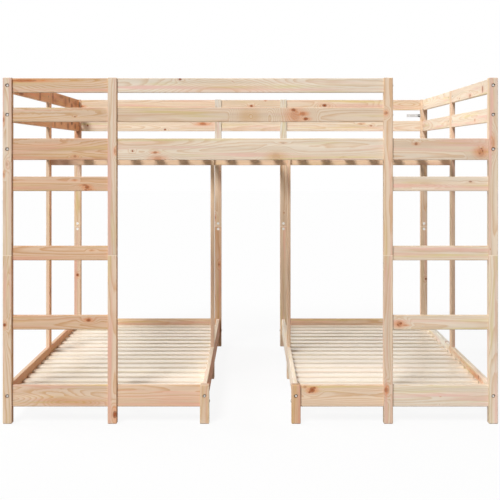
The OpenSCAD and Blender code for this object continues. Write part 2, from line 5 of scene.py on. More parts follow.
import bpy
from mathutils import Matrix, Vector


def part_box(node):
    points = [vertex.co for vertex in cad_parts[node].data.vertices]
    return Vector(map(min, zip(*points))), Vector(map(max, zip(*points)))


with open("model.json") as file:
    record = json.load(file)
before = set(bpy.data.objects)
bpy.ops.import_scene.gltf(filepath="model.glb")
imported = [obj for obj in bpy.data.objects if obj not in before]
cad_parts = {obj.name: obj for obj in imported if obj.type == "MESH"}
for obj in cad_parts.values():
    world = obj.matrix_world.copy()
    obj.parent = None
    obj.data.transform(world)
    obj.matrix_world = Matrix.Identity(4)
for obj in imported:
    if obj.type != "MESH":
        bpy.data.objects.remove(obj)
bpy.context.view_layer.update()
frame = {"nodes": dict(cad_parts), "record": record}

X, Y, Z = 0, 1, 2
MM = 0.001
WHITE = (1, 1, 1, 1)


def srgb(red, green, blue):
    """A colour given as 0 to 255 values on screen, in linear light."""
    def linear(value):
        value /= 255
        return value / 12.92 if value <= 0.04045 else ((value + 0.055) / 1.055) ** 2.4
    return (linear(red), linear(green), linear(blue), 1.0)


# Camera: at eye level just below the upper slats, a long way back
EYE = (0.0066, -6.0335, 1.120)
LENS = 86.89
SHIFT = (-0.0038, -0.192)

# Light: a tall soft key from the front left in three parts, softer lamps from the back left and the back
# right, and a faint room. Each lamp has the way its light goes, its strength and its spread in degrees
LAMPS = {
    "key_low": ((0.39, 1.30, -1.0), 1.23, 14),
    "key_middle": ((0.39, 1.00, -1.0), 1.06, 14),
    "key_high": ((0.39, 0.70, -1.0), 0.93, 14),
    "rim": ((0.82, -0.44, -0.36), 2.1, 40),
    "fill": ((-0.78, -0.48, -0.40), 0.5, 50),
}
# The room's light on the object: a little from all sides and more from one side
ROOM_STRENGTH = 0.05
ROOM_SIDE_STRENGTH = 0.18
ROOM_SIDE = (-0.75, -0.35, 0.55)

FLOOR_SIZE = 60
FLOOR_ROUGH = 0.9
# The floor's grey for the light that it throws back, and as the camera sees it
FLOOR_GREY = 0.35
FLOOR_SEEN_GREY = 0.80
# Share of the floor's own light that the camera sees; the rest is plain white
FLOOR_SHADE_SHARE = 0.10

# Boards that share a node: how many there are, and how wide the slats are
RUNG_COUNT = 3
SLAT_COUNT = 17
UPPER_SLAT_W = 46 * MM
LOWER_SLAT_W = 66 * MM

# Kinds of wood: early and late wood, a pink and a yellow streak, how much the boards differ, how strong the
# rings are, the share of places that hold a small knot, and the roughness, gloss and coat of the surface
Wood = namedtuple("Wood", "early late pink yellow spread rings knots rough gloss coat")
WOODS = {
    "pine": Wood(
        srgb(226, 203, 179), srgb(200, 150, 98), srgb(224, 178, 157), srgb(213, 188, 135),
        spread=0.05, rings=0.62, knots=0.22, rough=0.6, gloss=0.12, coat=0.0
    ),
    "slat_pine": Wood(
        srgb(244, 232, 214), srgb(228, 200, 168), srgb(242, 221, 203), srgb(238, 223, 194),
        spread=0.04, rings=0.4, knots=0.10, rough=0.40, gloss=0.4, coat=0.5
    ),
    "batten_pine": Wood(
        srgb(222, 196, 165), srgb(190, 150, 112), srgb(214, 176, 146), srgb(210, 184, 140),
        spread=0.08, rings=0.6, knots=0.3, rough=0.6, gloss=0.12, coat=0.0
    ),
    "dowel_wood": Wood(
        srgb(214, 184, 146), srgb(196, 160, 120), srgb(208, 170, 136), srgb(206, 176, 132),
        spread=0.03, rings=0.3, knots=0.0, rough=0.6, gloss=0.12, coat=0.0
    ),
}
# Step between the random numbers of two nodes, and how far apart two boards can lie in the log, in metres
SEED_STEP = 11.0
LOG_LENGTH = 37.0

# Tone of a board's wood: about 1 where it is warm and deep, 0 where it is plain and about -1 where it is
# pale. Two tones are for two boards in line
TONES = {
    "front_left_post_lower": 0.0, "front_left_post_upper": -0.4,
    "left_stile_lower": 0.1, "left_stile_upper": -0.4, "right_stile_lower": -0.2,
    "front_right_post_lower": -0.7, "front_right_post_upper": -0.45,
    "left_front_leg": 0.1, "right_front_leg": 1.2, "back_inner_left_post_lower": 1.0,
    "front_top_rail_left": 0.3, "front_second_rail_left": 0.2, "front_main_rail_left": 0.75,
    "front_top_rail_centre": -0.9, "front_second_rail_centre": -0.3, "front_main_rail_centre": -0.7,
    "front_main_rail_right": -0.5, "left_rungs": 0.9, "right_rungs": -0.6,
    "left_berth_front_rails": (0.1, 0.4), "right_berth_front_rails": (0.0, -0.9),
    "left_top_rails": 0.5, "left_second_rails": 0.3, "left_main_rails": 0.5, "left_lower_rails": 0.4,
    "right_top_rails": -0.9, "right_second_rails": -0.9, "right_main_rails": -0.5,
    "right_lower_rails": (-1.0, -1.8), "left_inner_rails": -0.8, "right_inner_rails": -1.2,
    "back_top_rails": -0.4, "back_second_rails": -0.8, "mid_beam": 0.2,
}
# What a tone of 1 does to the colour, and how much stronger it makes the rings
WARM_TINT = (0.94, 0.83, 0.75)
RINGS_BY_TONE = 0.2
# Painted shade on the right faces of some boards, which face away from the key lamp: a warm tint where it
# stands for shade lit by light thrown back from other wood, a deep one for posts and stiles, and the tint for
# each board
WARM_SHADE_TINT = (1.24, 0.86, 0.59)
DEEP_SHADE_TINT = (0.90, 0.63, 0.44)
RIGHT_FACE_PAINTED_SHADE = {
    "left_top_rails": WARM_SHADE_TINT, "left_second_rails": WARM_SHADE_TINT, "left_mid_upright": (1.14, 0.80, 0.56),
    "left_lower_rails": (1.18, 0.88, 0.68), "left_inner_rails": (0.70, 0.38, 0.22),
    "front_left_post_lower": DEEP_SHADE_TINT, "front_left_post_upper": DEEP_SHADE_TINT,
    "left_stile_lower": DEEP_SHADE_TINT, "left_stile_upper": DEEP_SHADE_TINT,
    "back_left_post_lower": (1.16, 0.92, 0.72), "back_left_post_upper": (1.20, 0.88, 0.66),
}
# How far a face points right where that painted shade sets in, and where it is full
PAINTED_SHADE_EDGE = (0.5, 0.9)
# Posts painted paler near the top, as painted light where they stand in full light above shade: the tint
# there, and the depth below the top where it starts and where it is full
PAINTED_LIGHT_TOPS = ("back_inner_left_post_upper", "back_inner_right_post_upper")
TOP_LIGHT_TINT = (0.95, 1.14, 1.34)
TOP_LIGHT_START = 330 * MM
TOP_LIGHT_FULL = 230 * MM
# Painted highlight along the top edge of the lower posts and stiles, at the seam, standing in for a rounded
# edge that catches the light
SEAM_HIGHLIGHT_DEPTH = 5 * MM
SEAM_HIGHLIGHT = srgb(248, 232, 212)
SEAM_HIGHLIGHT_SHARE = 0.7

# Growth rings: their width, how dark the wood is from one ring to the next, and how unevenly they lie
RING_WIDTH = 3.6 * MM
RING_STOPS = ((0.0, 0.05), (0.45, 0.12), (0.78, 0.75), (0.9, 1.0), (0.96, 0.5), (1.0, 0.05))
UNEVEN_SCALE = 60.0
UNEVEN = 2.4
# The pith: how fast it wanders along the log and how much its way differs between nodes, how far it wanders
# and how far its place differs between boards, across the board and through it, and its least depth behind
# the board's middle, in metres
PITH_SCALE = 1.1
PITH_SEED_STEP = 0.37
PITH_WANDER = (0.045, 0.040)
PITH_SPREAD = (0.06, 0.05)
PITH_DEPTH = 0.022
# Noise drawn out along the grain: its scale along and across the board, its detail and its roughness
RIPPLE = (5.0, 30.0, 3.0, 0.5)
STREAK = (1.6, 42.0, 3.0, 0.6)
FIBRE = (30.0, 900.0, 2.0, 0.5)
RIPPLE_DEPTH = 6 * MM
# Noise levels between which a pink and a yellow streak set in
PINK_EDGE = (0.0, 0.22)
YELLOW_EDGE = (0.02, 0.24)
# How much streaks, fibres and end grain lighten or darken the wood, and where a face starts to be end grain
STREAK_TONE = 0.42
FIBRE_TONE = 0.16
END_TONE = -0.2
END_EDGE = (0.75, 0.9)
# How much fibres and late wood change the roughness, and how high fibres, late wood and knots stand
FIBRE_ROUGH = 0.25
LATE_ROUGH = -0.06
FIBRE_RELIEF = 0.6
LATE_RELIEF = 0.35
KNOT_RELIEF = 0.5
WOOD_BUMP = {"Strength": 0.35, "Distance": 0.4 * MM}
COAT_ROUGH = 0.3

# Knots by node: place along the grain and across it, from the node's low end and low edge, half length and
# half width, all in mm, then how dark the middle is and how strong the glow round it
KNOTS = {
    "left_rungs": [
        (311, 592, 8, 7, 0.8, 0.9), (301, 601, 10, 3, 0.6, 0.9), (322, 583, 9, 2, 0.5, 0.9),
        (306, 580, 5, 4, 0.6, 0.8), (259, 622, 5, 3, 0.2, 0.5), (317, 39, 8, 6, 0.9, 0.9),
        (330, 330, 5, 3, 0.2, 0.3),
    ],
    "front_main_rail_left": [
        (261, 15, 6, 5, 0.5, 0.5), (180, 12, 150, 10, 0.0, 0.4), (120, 60, 60, 12, 0.0, 0.25),
    ],
    "front_top_rail_left": [
        (50, 50, 46, 5, 0.5, 1.0), (190, 54, 120, 8, 0.0, 0.9), (230, 30, 50, 10, 0.0, 0.25),
    ],
    "front_second_rail_left": [(34, 20, 44, 15, 0.0, 0.6), (300, 30, 40, 12, 0.0, 0.3)],
    "front_left_post_lower": [(411, 8, 7, 6, 1.0, 0.6), (480, 20, 40, 6, 0.1, 0.3)],
    "front_left_post_upper": [(562, 4, 8, 4, 0.5, 0.8), (336, 5, 6, 4, 0.4, 0.6)],
    "left_stile_lower": [(39, 30, 14, 8, 0.9, 0.9)],
    "left_stile_upper": [(432, 31, 7, 5, 0.3, 0.8)],
    "left_berth_front_rails": [
        (198, 28, 30, 14, 0.05, 0.9), (290, 18, 26, 8, 0.0, 0.9), (60, 60, 40, 8, 0.0, 0.3),
    ],
    "front_main_rail_centre": [
        (64, 37, 4, 4, 1.0, 0.1), (159, 31, 7, 5, 0.5, 0.8), (170, 6, 14, 10, 0.2, 0.7),
        (120, 70, 60, 12, 0.0, 0.25), (690, 71, 7, 3, 0.35, 0.2), (661, 14, 14, 16, 0.12, 0.9),
        (940, 12, 5, 3, 0.1, 0.4),
    ],
    "front_top_rail_centre": [(262, 56, 6, 5, 1.0, 0.2), (440, 26, 60, 22, 0.0, 0.35)],
    "front_second_rail_centre": [
        (734, 50, 8, 6, 0.8, 0.9), (740, 26, 16, 26, 0.16, 0.7), (772, 34, 9, 8, 0.4, 1.0),
        (785, 13, 8, 6, 0.9, 0.9), (540, 24, 12, 22, 0.0, 0.9), (566, 22, 10, 24, 0.0, 0.8),
    ],
    "front_main_rail_right": [
        (367, 33, 11, 17, 0.22, 0.9), (373, 38, 3, 4, 0.8, 0.9), (361, 28, 4, 3, 0.7, 0.9),
        (369, 48, 4, 3, 0.6, 0.9), (97, 67, 6, 5, 0.7, 0.6), (180, 70, 60, 8, 0.0, 0.3),
    ],
    "right_rungs": [
        (138, 607, 24, 7, 0.1, 0.45), (112, 603, 30, 6, 0.0, 0.4), (323, 616, 7, 3, 0.7, 0.2),
        (28, 23, 9, 11, 0.35, 1.0), (34, 26, 5, 4, 0.9, 0.9), (22, 20, 5, 3, 0.8, 0.9),
        (50, 18, 8, 3, 0.3, 0.9),
    ],
    "right_stile_upper": [(590, 9, 5, 8, 0.5, 0.7)],
    "right_stile_lower": [(141, 11, 9, 8, 0.5, 0.9)],
    "right_berth_front_rails": [
        (18, 82, 6, 5, 0.4, 0.5), (48, 69, 9, 10, 0.85, 1.0), (58, 78, 5, 4, 0.8, 0.9),
        (38, 60, 5, 4, 0.8, 0.9),
    ],
    "front_right_post_upper": [(466, 17, 14, 8, 0.18, 0.7)],
    "back_top_rails": [
        (993, 25, 8, 6, 1.0, 0.6), (1419, 28, 12, 8, 1.0, 0.5), (6, 22, 9, 6, 0.4, 0.8),
        (1906, 31, 40, 16, 0.0, 0.3),
    ],
    "back_second_rails": [
        (711, 42, 18, 7, 0.5, 1.0), (490, 10, 6, 5, 1.0, 0.1), (1632, 42, 9, 4, 0.4, 0.5),
        (1690, 32, 6, 5, 0.5, 0.4), (39, 33, 5, 5, 0.9, 0.3),
    ],
    "back_left_post_lower": [(416, 19, 7, 7, 1.0, 0.6)],
    "back_left_post_upper": [
        (560, 20, 14, 9, 0.8, 0.8), (492, 22, 10, 8, 0.9, 0.8), (528, 16, 24, 10, 0.3, 0.6),
    ],
    "back_inner_left_post_lower": [(477, 24, 6, 5, 0.6, 0.5)],
    "back_right_post_lower": [(393, 30, 6, 6, 1.0, 0.3)],
    "left_mid_upright": [(430, 30, 20, 12, 0.6, 0.8)],
    "left_top_rails": [
        (689, 22, 16, 26, 0.8, 0.9), (1605, 42, 20, 14, 0.9, 0.7), (219, 9, 50, 8, 0.7, 0.8),
        (1060, 30, 12, 26, 0.9, 1.0), (1130, 16, 40, 8, 0.2, 1.0), (1330, 46, 60, 7, 0.3, 1.0),
        (1470, 26, 30, 22, 0.3, 1.0), (1700, 14, 24, 12, 0.9, 1.0), (1850, 34, 50, 14, 0.4, 1.0),
    ],
    "left_second_rails": [
        (1120, 28, 10, 22, 0.7, 0.8), (1330, 34, 20, 12, 0.6, 0.9), (1560, 20, 24, 16, 0.7, 0.9),
        (1700, 40, 30, 10, 0.9, 0.8), (1830, 24, 30, 14, 0.6, 0.9),
    ],
    "right_top_rails": [(152, 24, 14, 14, 0.8, 0.3), (450, 10, 16, 8, 0.7, 0.5)],
    "right_lower_rails": [
        (914, 75, 60, 10, 0.0, 0.9), (640, 72, 120, 9, 0.0, 0.8), (300, 66, 60, 8, 0.16, 0.9),
        (248, 71, 10, 8, 0.7, 0.9),
    ],
}
# Below this darkness a knot is only a swirl in the grain
SWIRL_LIMIT = 0.15
# Loose grid that small knots are drawn from, in cells per metre along and across the board
KNOT_GRID = (3.2, 9.0)
# Small knots: their width as a share of their length, their largest and their least radius
SMALL_KNOT_WIDTH_SHARE = 0.8
SMALL_KNOT_RADIUS = 6 * MM
LEAST_RADIUS = 0.1 * MM
# How far the edges of knots wander, in metres, and the scale and detail of the noise that they follow
RAGGED = (0.005, 0.004, 0.0)
RAGGED_SCALE = 55.0
RAGGED_DETAIL = 2.0
# A knot's parts, in radii from its middle, each from where it starts to where it is full: the bend in the
# grain, the dark middle, the glow round it, and the dark rim from inside and from outside
BEND_EDGE = (3.6, 0.0)
CORE_EDGE = (1.0, 0.55)
GLOW_EDGE = (2.4, 0.2)
RIM_INNER_EDGE = (0.7, 0.95)
RIM_OUTER_EDGE = (1.25, 0.95)
# Bends and glows are twice as long as they are wide
DRAWN_OUT = (0.5, 1.0, 0.0)
# How far the rings bend, in radii, and how dark the rim of the darkest knots is
BEND = 1.6
RIM_SHARE = 0.7
# A distance past all knots, in metres
FAR = 1.0
# Fine rings in a knot's middle: their width, from where to where in it they turn pale, and how pale
KNOT_RING = 0.9 * MM
KNOT_RING_EDGE = (0.2 * KNOT_RING, 0.8 * KNOT_RING)
KNOT_RING_SHARE = 0.55
# Strength of tan swirls and of red glows in early wood, and what late wood adds
SWIRL_SHARE = (0.4, 0.6)
HALO_SHARE = (0.7, 0.3)
SWIRL_TAN = srgb(208, 162, 108)
KNOT_CORE = srgb(122, 54, 28)
KNOT_PALE = srgb(208, 122, 72)
KNOT_HALO = srgb(218, 138, 86)
KNOT_RIM = srgb(84, 44, 28)

# Plated steels: the colour of square faces and the painted shade on sloping and rounded faces, the roughness,
# and how square a face that points left or right counts
Steel = namedtuple("Steel", "face slope rough sides")
STEELS = {
    "nut_steel": Steel((0.78, 0.76, 0.73, 1.0), (0.06, 0.055, 0.05, 1.0), 0.5, 0.0),
    "zinc_steel": Steel((0.70, 0.67, 0.64, 1.0), (0.36, 0.33, 0.30, 1.0), 0.42, 1.0),
    "pale_steel": Steel((0.62, 0.63, 0.64, 1.0), (0.05, 0.045, 0.04, 1.0), 0.42, 0.0),
}
STEEL_BY_SLOT = {"hardware": "zinc_steel", "bracket_steel": "pale_steel"}
# How square to the axes a face is where it starts to count as square, and where it does in full
SQUARE_EDGE = (0.93, 0.99)
# Mottled plating: its scale, its detail and how much it changes the colour
MOTTLE_SCALE = 260.0
MOTTLE_DETAIL = 3.0
MOTTLE_TONE = 0.25
# Faint drawn lines: their scale along each axis, their detail and how much they change the roughness
LINE_SCALE = (400.0, 400.0, 3000.0)
LINE_DETAIL = 2.0
LINE_ROUGH = 0.2
STEEL_BUMP = {"Strength": 0.15, "Distance": 0.1 * MM}

# Places of a mix node's sockets: its two colours and their mix, and its two numbers and theirs
MIX_COLOURS, MIXED_COLOUR = (6, 7), 2
MIX_NUMBERS, MIXED_NUMBER = (2, 3), 0


class Graph:
    """Adds shader nodes to one material and joins them up. A value is a socket or a constant."""

    def __init__(self, tree):
        self.tree = tree

    def plug(self, node, inputs):
        """Gives a node's inputs their values."""
        for key, value in inputs.items():
            if isinstance(value, bpy.types.NodeSocket):
                self.tree.links.new(value, node.inputs[key])
            else:
                node.inputs[key].default_value = value

    def node(self, kind, inputs=(), **settings):
        made = self.tree.nodes.new(kind)
        for name, value in settings.items():
            setattr(made, name, value)
        self.plug(made, dict(inputs))
        return made

    def math(self, operation, *values):
        return self.node("ShaderNodeMath", enumerate(values), operation=operation).outputs[0]

    def vector(self, operation, *values):
        made = self.node("ShaderNodeVectorMath", enumerate(values), operation=operation)
        return made.outputs["Value" if operation in ("LENGTH", "DOT_PRODUCT") else "Vector"]

    def scaled(self, colour, amount):
        made = self.node("ShaderNodeVectorMath", {0: colour, "Scale": amount}, operation="SCALE")
        return made.outputs["Vector"]

    def join(self, x, y, z=0.0):
        return self.node("ShaderNodeCombineXYZ", enumerate((x, y, z))).outputs[0]

    def split(self, vector):
        return self.node("ShaderNodeSeparateXYZ", {0: vector}).outputs

    def noise(self, vector, scale=1.0, detail=1.0, rough=0.5):
        """Noise round zero as one number, and as three."""
        made = self.node(
            "ShaderNodeTexNoise", {"Vector": vector, "Scale": scale, "Detail": detail, "Roughness": rough}
        )
        number = self.math("SUBTRACT", made.outputs["Fac"], 0.5)
        return number, self.split(self.vector("SUBTRACT", made.outputs["Color"], (0.5, 0.5, 0.5)))

    def step(self, value, start, end):
        """Smooth step from 0 at start to 1 at end."""
        inputs = {"Value": value, "From Min": start, "From Max": end}
        if start > end:
            inputs = {"Value": value, "From Min": end, "From Max": start, "To Min": 1.0, "To Max": 0.0}
        return self.node("ShaderNodeMapRange", inputs, interpolation_type="SMOOTHSTEP").outputs[0]

    def ramp(self, value, stops):
        made = self.node("ShaderNodeValToRGB", {0: value})
        elements = made.color_ramp.elements
        while len(elements) < len(stops):
            elements.new(1.0)
        for element, (place, level) in zip(elements, stops):
            element.position = place
            element.color = (level, level, level, 1.0)
        return made.outputs[0]

    def mix(self, share, *colours):
        made = self.node("ShaderNodeMix", {0: share, **dict(zip(MIX_COLOURS, colours))}, data_type="RGBA")
        return made.outputs[MIXED_COLOUR]

    def mix_numbers(self, share, *numbers):
        made = self.node("ShaderNodeMix", {0: share, **dict(zip(MIX_NUMBERS, numbers))}, data_type="FLOAT")
        return made.outputs[MIXED_NUMBER]


def new_material(name):
    material = bpy.data.materials.new(name)
    material.use_nodes = True
    return material, Graph(material.node_tree), material.node_tree.nodes["Principled BSDF"]


class Lay:
    """How the boards of a node lie: the axes along the grain, across the wide face and through the thickness,
    and what parts the node into boards."""

    def __init__(self, name):
        low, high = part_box(name)
        self.name = name
        self.low, self.high = low, high
        self.middle = (low + high) / 2
        self.along, self.across = self.axes(name)
        self.deep = X + Y + Z - self.along - self.across
        self.parted, self.start, self.pitch = self.parting(name, low, high)
        self.cuts = self.cutting(name)

    @staticmethod
    def axes(name):
        if name.endswith(("_lower", "_upper", "_leg")):
            return Z, X
        if name.endswith("_upright"):
            return Z, Y
        if name == "upper_slats":
            return Y, X
        if name == "lower_battens":
            return Y, Z
        if name in ("left_slats", "right_slats"):
            return X, Y
        if name.startswith(("left_", "right_")) and name.endswith("_rails") and "berth" not in name:
            return Y, Z
        return X, Z

    @staticmethod
    def parting(name, low, high):
        """The axis along which equal boards lie side by side, where the first starts and their pitch."""
        if name.endswith("rungs"):
            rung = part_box("front_second_rail_left")
            rung_h = rung[1].z - rung[0].z
            pitch = (high.z - low.z - rung_h) / (RUNG_COUNT - 1)
            return Z, low.z + rung_h / 2 - pitch / 2, pitch
        if name == "upper_slats":
            pitch = (high.x - low.x - UPPER_SLAT_W) / (SLAT_COUNT - 1)
            return X, low.x + UPPER_SLAT_W / 2 - pitch / 2, pitch
        if name in ("left_slats", "right_slats"):
            pitch = (high.y - low.y - LOWER_SLAT_W) / (SLAT_COUNT - 1)
            return Y, low.y + LOWER_SLAT_W / 2 - pitch / 2, pitch
        return None, 0.0, 1.0

    @staticmethod
    def cutting(name):
        """The axis along which the node's boards follow one another, and where each new one starts."""
        stile_x = Lay.centre_x("right_stile_lower")
        inner_x = Lay.centre_x("back_inner_right_post_lower")
        if name == "lower_battens":
            return X, (-stile_x, 0.0, stile_x)
        if name == "left_berth_front_rails":
            return X, (-stile_x,)
        if name == "right_berth_front_rails":
            return X, (stile_x,)
        if name in ("back_top_rails", "back_second_rails", "back_main_rails", "mid_beam", "upper_battens"):
            return X, (-inner_x, inner_x)
        if name == "berth_back_rails":
            return X, (0.0,)
        return Y, (0.0,)

    @staticmethod
    def centre_x(name):
        low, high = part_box(name)
        return (low.x + high.x) / 2


class WoodShader:
    """Pine cut from a log: growth rings round a pith beside the board, streaks, knots and end grain."""

    def __init__(self, name, lay, wood, knots, seed):
        self.material, self.graph, self.shader = new_material(name)
        self.lay, self.wood, self.seed = lay, wood, seed
        place = self.graph.node("ShaderNodeTexCoord")
        self.spot = self.graph.split(place.outputs["Object"])
        self.facing = self.graph.split(place.outputs["Normal"])
        self.find_board()
        self.draw_knots(self.find_knots(knots))
        self.draw_rings()
        self.streak = self.drawn_noise(*STREAK)[1]
        self.fibre = self.drawn_noise(*FIBRE)[0]
        colour = self.painted_seam_highlight(self.knotted(self.painted_light_and_shade(self.plain_colour())))
        self.set_surface(self.graph.scaled(colour, self.tone()))

    def find_board(self):
        """The board's number in its node, its own random numbers, and the place from its middle."""
        graph, lay = self.graph, self.lay
        steps = self.number = 0.0
        if lay.parted is None:
            axis, starts = lay.cuts
            for start in starts:
                past = graph.math("GREATER_THAN", self.spot[axis], start)
                self.number = graph.math("ADD", past, self.number)
        else:
            steps = graph.math("DIVIDE", graph.math("SUBTRACT", self.spot[lay.parted], lay.start), lay.pitch)
            self.number = graph.math("FLOOR", steps)
        seed = graph.math("ADD", self.number, self.seed)
        chance = graph.node("ShaderNodeTexWhiteNoise", {"W": seed}, noise_dimensions="1D")
        self.chances = graph.split(chance.outputs["Color"])
        self.along = self.spot[lay.along]
        self.across = self.from_middle(lay.across, steps)
        self.deep = self.from_middle(lay.deep, steps)
        # Each board starts at its own place in the log
        self.shift = graph.math("MULTIPLY", self.chances[0], LOG_LENGTH)
        self.own = graph.math("ADD", self.along, self.shift)

    def from_middle(self, axis, steps):
        graph, lay = self.graph, self.lay
        if lay.parted == axis:
            share = graph.math("SUBTRACT", graph.math("SUBTRACT", steps, self.number), 0.5)
            return graph.math("MULTIPLY", share, lay.pitch)
        return graph.math("SUBTRACT", self.spot[axis], lay.middle[axis])

    def find_knots(self, knots):
        """The way from each knot's middle, its radius, darkness and glow, for those listed and for small ones
        in some cells of a loose grid."""
        graph, lay = self.graph, self.lay
        ragged = graph.noise(graph.join(self.own, self.across, self.deep), RAGGED_SCALE, RAGGED_DETAIL)[1]
        wander = graph.vector("MULTIPLY", graph.join(ragged[0], ragged[1]), RAGGED)
        plane = graph.vector("ADD", graph.join(self.along, self.spot[lay.across]), wander)
        found = []
        for knot_along, knot_across, half_length, half_width, dark, glow in knots:
            centre = (lay.low[lay.along] + knot_along * MM, lay.low[lay.across] + knot_across * MM, 0.0)
            away = graph.vector("SUBTRACT", plane, centre)
            away = graph.vector("MULTIPLY", away, (half_width / half_length, 1.0, 0.0))
            found.append((away, half_width * MM, dark, glow))
        if self.wood.knots:
            found.append(self.small_knot(wander))
        return found

    def small_knot(self, wander):
        graph, share = self.graph, self.wood.knots
        grid = graph.join(self.own, graph.math("ADD", self.across, self.shift))
        grid = graph.vector("MULTIPLY", grid, (*KNOT_GRID, 0.0))
        cells = graph.node("ShaderNodeTexVoronoi", {"Vector": grid, "Scale": 1.0}, voronoi_dimensions="2D")
        away = graph.vector("SUBTRACT", grid, cells.outputs["Position"])
        away = graph.vector("MULTIPLY", away, (SMALL_KNOT_WIDTH_SHARE / KNOT_GRID[0], 1 / KNOT_GRID[1], 0.0))
        luck = graph.split(cells.outputs["Color"])
        size = graph.math("DIVIDE", graph.math("SUBTRACT", luck[0], 1 - share), share)
        radius = graph.math("MAXIMUM", graph.math("MULTIPLY", size, SMALL_KNOT_RADIUS), LEAST_RADIUS)
        return graph.vector("ADD", away, wander), radius, luck[1], luck[2]

    def draw_knots(self, found):
        """How far knots push the rings aside, their dark middles and rims, the red and the tan round them,
        and the distance to the nearest."""
        graph = self.graph
        self.push = self.core = self.rim = self.red = self.tan = 0.0
        self.nearest = FAR
        for away, radius, dark, glow in found:
            length = graph.vector("LENGTH", away)
            self.nearest = graph.math("MINIMUM", length, self.nearest)
            near = graph.math("DIVIDE", length, radius)
            drawn_out = graph.vector("LENGTH", graph.vector("MULTIPLY", away, DRAWN_OUT))
            wide = graph.math("DIVIDE", drawn_out, radius)
            bend = graph.math("MULTIPLY", graph.step(wide, *BEND_EDGE), radius)
            self.push = graph.math("MULTIPLY_ADD", bend, BEND, self.push)
            inside = graph.math("MULTIPLY", graph.step(near, *CORE_EDGE), dark)
            self.core = graph.math("MAXIMUM", inside, self.core)
            glows = graph.math("MULTIPLY", graph.step(wide, *GLOW_EDGE), glow)
            if isinstance(dark, float) and dark < SWIRL_LIMIT:
                self.tan = graph.math("MAXIMUM", glows, self.tan)
            else:
                self.red = graph.math("MAXIMUM", glows, self.red)
            line = graph.math(
                "MULTIPLY", graph.step(near, *RIM_INNER_EDGE), graph.step(near, *RIM_OUTER_EDGE)
            )
            line = graph.math("MULTIPLY", line, graph.math("MULTIPLY", dark, RIM_SHARE))
            self.rim = graph.math("MAXIMUM", line, self.rim)

    def drawn_noise(self, along_scale, across_scale, detail, rough):
        """Noise drawn out along the grain."""
        graph = self.graph
        place = graph.join(
            graph.math("MULTIPLY", self.own, along_scale),
            graph.math("MULTIPLY", self.across, across_scale),
            graph.math("MULTIPLY", self.deep, across_scale),
        )
        return graph.noise(place, detail=detail, rough=rough)

    def draw_rings(self):
        """Late wood in growth rings round a pith that wanders slowly along the board."""
        graph, chances = self.graph, self.chances
        wander = graph.join(graph.math("MULTIPLY", self.own, PITH_SCALE), self.seed * PITH_SEED_STEP)
        wander = graph.noise(wander)[1]
        pith_across = graph.math(
            "MULTIPLY_ADD", graph.math("SUBTRACT", chances[1], 0.5), PITH_SPREAD[0],
            graph.math("MULTIPLY", wander[0], PITH_WANDER[0])
        )
        pith_deep = graph.math(
            "ADD", graph.math("MULTIPLY_ADD", chances[2], PITH_SPREAD[1], PITH_DEPTH),
            graph.math("MULTIPLY", wander[1], PITH_WANDER[1])
        )
        from_pith = graph.join(
            graph.math("SUBTRACT", self.across, pith_across), graph.math("SUBTRACT", self.deep, pith_deep)
        )
        ripple = self.drawn_noise(*RIPPLE)[0]
        radius = graph.math("MULTIPLY_ADD", ripple, RIPPLE_DEPTH, graph.vector("LENGTH", from_pith))
        radius = graph.math("ADD", radius, self.push)
        uneven = graph.noise(graph.join(graph.math("MULTIPLY", radius, UNEVEN_SCALE), chances[0]))[0]
        rings = graph.math("MULTIPLY_ADD", uneven, UNEVEN, graph.math("DIVIDE", radius, RING_WIDTH))
        self.late = graph.ramp(graph.math("FRACT", rings), RING_STOPS)

    def plain_colour(self):
        """Rings and streaks, in the board's own tone."""
        graph, wood = self.graph, self.wood
        warm = TONES.get(self.lay.name, 0.0)
        if isinstance(warm, tuple):
            warm = graph.math("MULTIPLY_ADD", self.number, warm[1] - warm[0], warm[0])
        rings = graph.math("MULTIPLY", graph.math("MULTIPLY_ADD", warm, RINGS_BY_TONE, 1.0), wood.rings)
        colour = graph.mix(graph.math("MULTIPLY", self.late, rings), wood.early, wood.late)
        colour = graph.mix(graph.step(self.streak[0], *PINK_EDGE), colour, wood.pink)
        colour = graph.mix(graph.step(self.streak[1], *YELLOW_EDGE), colour, wood.yellow)
        tint = graph.join(*(graph.math("POWER", part, warm) for part in WARM_TINT))
        return graph.vector("MULTIPLY", colour, tint)

    def painted_light_and_shade(self, colour):
        """Painted shade on right faces, and painted light near the top, where the board has them."""
        graph, lay = self.graph, self.lay
        # Painted shade: right-facing faces take a warm or deep shade tint
        if lay.name in RIGHT_FACE_PAINTED_SHADE:
            shaded = graph.vector("MULTIPLY", colour, RIGHT_FACE_PAINTED_SHADE[lay.name])
            colour = graph.mix(graph.step(self.facing[X], *PAINTED_SHADE_EDGE), colour, shaded)
        # Painted light: the post turns paler towards its top
        if lay.name in PAINTED_LIGHT_TOPS:
            top = graph.step(self.spot[Z], lay.high.z - TOP_LIGHT_START, lay.high.z - TOP_LIGHT_FULL)
            colour = graph.mix(top, colour, graph.vector("MULTIPLY", colour, TOP_LIGHT_TINT))
        return colour

    def knotted(self, colour):
        graph = self.graph
        swirl = graph.math("MULTIPLY_ADD", self.late, SWIRL_SHARE[1], SWIRL_SHARE[0])
        colour = graph.mix(graph.math("MULTIPLY", self.tan, swirl), colour, SWIRL_TAN)
        halo = graph.math("MULTIPLY_ADD", self.late, HALO_SHARE[1], HALO_SHARE[0])
        colour = graph.mix(graph.math("MULTIPLY", self.red, halo), colour, KNOT_HALO)
        fine_ring = graph.step(graph.math("PINGPONG", self.nearest, KNOT_RING), *KNOT_RING_EDGE)
        middle = graph.mix(graph.math("MULTIPLY", fine_ring, KNOT_RING_SHARE), KNOT_CORE, KNOT_PALE)
        colour = graph.mix(self.core, colour, middle)
        return graph.mix(self.rim, colour, KNOT_RIM)

    def painted_seam_highlight(self, colour):
